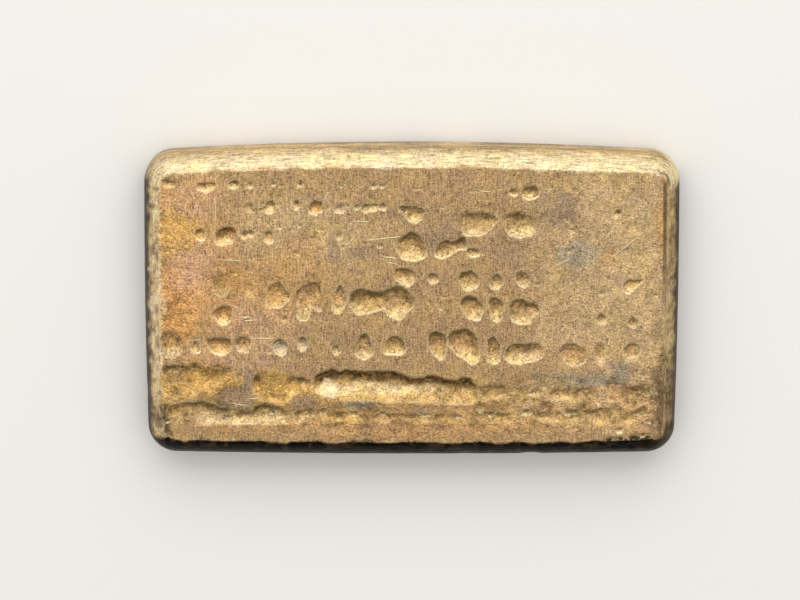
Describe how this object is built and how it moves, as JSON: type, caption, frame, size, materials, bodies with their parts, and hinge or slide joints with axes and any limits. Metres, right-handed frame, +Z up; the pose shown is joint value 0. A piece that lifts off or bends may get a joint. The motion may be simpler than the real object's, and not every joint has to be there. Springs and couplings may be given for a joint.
{
  "type": "metal ingot",
  "caption": "Small poured metal ingot with bowed sides, round shoulders and a pour face that was pressed flat over rows of pits and long cooling troughs.",
  "frame": {"origin": "centre of the flat mould face, at the bottom of the lying ingot", "axes": "+X along the length, +Y across the width towards the clean upper long side, +Z up out of the pressed pour face"},
  "size_m": [0.08, 0.0476, 0.0082],
  "materials": {
    "toned_metal": "poured metal, pressed flat and worn on the pour face, heavily toned golden brown to grey-purple, almost black with tarnish along the lower shoulder"
  },
  "bodies": {
    "root": {"ingot": "toned_metal"}
  },
  "joints": []
}
